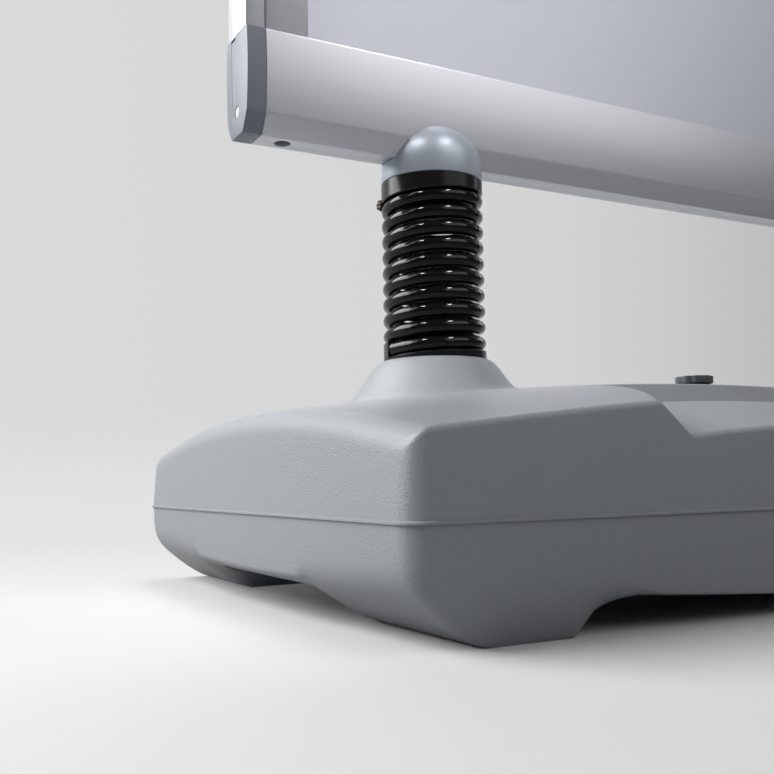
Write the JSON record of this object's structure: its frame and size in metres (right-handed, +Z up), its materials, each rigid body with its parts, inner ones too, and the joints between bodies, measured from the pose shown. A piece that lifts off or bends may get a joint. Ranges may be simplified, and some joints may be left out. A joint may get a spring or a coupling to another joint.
{
  "type": "pavement sign",
  "caption": "Double-sided snap frame poster sign that sways on coil springs over a fillable moulded base, with hinged frame flaps and a screw cap.",
  "frame": {"origin": "on the floor under the middle of the base", "axes": "+Z up, the front poster faces -Y, the sign's width runs along X with left at -X"},
  "size_m": [0.6478, 0.363, 1.1794],
  "materials": {
    "tank_plastic": "fine textured satin, mid blue-grey",
    "screw_cap_plastic": "satin dark grey",
    "seal_rubber": "matte black",
    "spring_steel": "gloss black",
    "ring_steel": "semi-gloss black",
    "cup_aluminium": "satin",
    "bolt_steel": "zinc plated",
    "end_cap_plastic": "satin light blue-grey",
    "frame_aluminium": "satin anodised",
    "bracket_steel": "plain",
    "rail_aluminium": "satin anodised",
    "panel_plastic": "matte white",
    "poster_paper": "plain pale sheet",
    "clear_cover_plastic": "clear, anti-glare",
    "flap_aluminium": "satin anodised",
    "leaf_spring_steel": "plain spring steel"
  },
  "bodies": {
    "base": {"base_tank": "tank_plastic", "coil_spring_left": "spring_steel", "coil_spring_right": "spring_steel", "spring_ring_left": "ring_steel", "spring_ring_right": "ring_steel", "base_bolt_left": "bolt_steel", "base_bolt_right": "bolt_steel", "base_washer_left": "bolt_steel", "base_washer_right": "bolt_steel"},
    "cap_seal": {"filler_cap_seal": "seal_rubber"},
    "cap": {"filler_cap": "screw_cap_plastic"},
    "sign": {"spring_collar_left": "ring_steel", "saddle_cup_left": "cup_aluminium", "rail_bolt_left": "bolt_steel", "rail_clamp_plate_left": "bolt_steel", "rail_cap_screw_left": "bolt_steel", "rail_end_cap_left": "end_cap_plastic", "side_post_left": "frame_aluminium", "corner_bracket_top_left": "bracket_steel", "corner_bracket_bottom_left": "bracket_steel", "spring_collar_right": "ring_steel", "saddle_cup_right": "cup_aluminium", "rail_bolt_right": "bolt_steel", "rail_clamp_plate_right": "bolt_steel", "rail_cap_screw_right": "bolt_steel", "rail_end_cap_right": "end_cap_plastic", "side_post_right": "frame_aluminium", "corner_bracket_top_right": "bracket_steel", "corner_bracket_bottom_right": "bracket_steel", "bottom_rail": "rail_aluminium", "top_rail": "frame_aluminium", "backing_panel": "panel_plastic", "poster_front": "poster_paper", "clear_cover_front": "clear_cover_plastic", "leaf_spring_front_left_low": "leaf_spring_steel", "leaf_spring_front_left_high": "leaf_spring_steel", "leaf_spring_front_right_low": "leaf_spring_steel", "leaf_spring_front_right_high": "leaf_spring_steel", "leaf_spring_front_top_left": "leaf_spring_steel", "leaf_spring_front_top_right": "leaf_spring_steel", "poster_back": "poster_paper", "clear_cover_back": "clear_cover_plastic", "leaf_spring_back_left_low": "leaf_spring_steel", "leaf_spring_back_left_high": "leaf_spring_steel", "leaf_spring_back_right_low": "leaf_spring_steel", "leaf_spring_back_right_high": "leaf_spring_steel", "leaf_spring_back_top_left": "leaf_spring_steel", "leaf_spring_back_top_right": "leaf_spring_steel"},
    "flap_front_left": {"snap_flap_front_left": "flap_aluminium"},
    "flap_front_right": {"snap_flap_front_right": "flap_aluminium"},
    "flap_front_top": {"snap_flap_front_top": "flap_aluminium"},
    "flap_back_left": {"snap_flap_back_left": "flap_aluminium"},
    "flap_back_right": {"snap_flap_back_right": "flap_aluminium"},
    "flap_back_top": {"snap_flap_back_top": "flap_aluminium"}
  },
  "joints": [
    {"name": "sway", "type": "hinge", "parent": "base", "child": "sign", "pos_m": [0, 0, 0.18779], "axis": [1, 0, 0], "range_deg": [-15, 15], "stiffness_Nm_per_rad": 260, "deforming": ["coil_spring_left", "coil_spring_right"]},
    {"name": "open_front_left", "type": "hinge", "parent": "sign", "child": "flap_front_left", "pos_m": [-0.3112, -0.0126, 0.738], "axis": [0, 0, -1], "range_deg": [0, 90]},
    {"name": "open_front_right", "type": "hinge", "parent": "sign", "child": "flap_front_right", "pos_m": [0.3112, -0.0126, 0.738], "axis": [0, 0, 1], "range_deg": [0, 90]},
    {"name": "open_front_top", "type": "hinge", "parent": "sign", "child": "flap_front_top", "pos_m": [0, -0.0126, 1.16667], "axis": [-1, 0, 0], "range_deg": [0, 90]},
    {"name": "open_back_left", "type": "hinge", "parent": "sign", "child": "flap_back_left", "pos_m": [-0.3112, 0.0126, 0.738], "axis": [0, 0, 1], "range_deg": [0, 90]},
    {"name": "open_back_right", "type": "hinge", "parent": "sign", "child": "flap_back_right", "pos_m": [0.3112, 0.0126, 0.738], "axis": [0, 0, -1], "range_deg": [0, 90]},
    {"name": "open_back_top", "type": "hinge", "parent": "sign", "child": "flap_back_top", "pos_m": [0, 0.0126, 1.16667], "axis": [1, 0, 0], "range_deg": [0, 90]},
    {"name": "cap_lift", "type": "slide", "parent": "base", "child": "cap_seal", "axis": [0, 0, 1], "range_m": [0, 0.0075]},
    {"name": "cap_turn", "type": "hinge", "parent": "cap_seal", "child": "cap", "pos_m": [0, -0.012, 0.126], "axis": [0, 0, 1], "range_deg": [0, 900]}
  ],
  "couplings": [
    {"joint": "cap_lift", "follows": "cap_turn", "m_per_rad": 0.00047746}
  ]
}
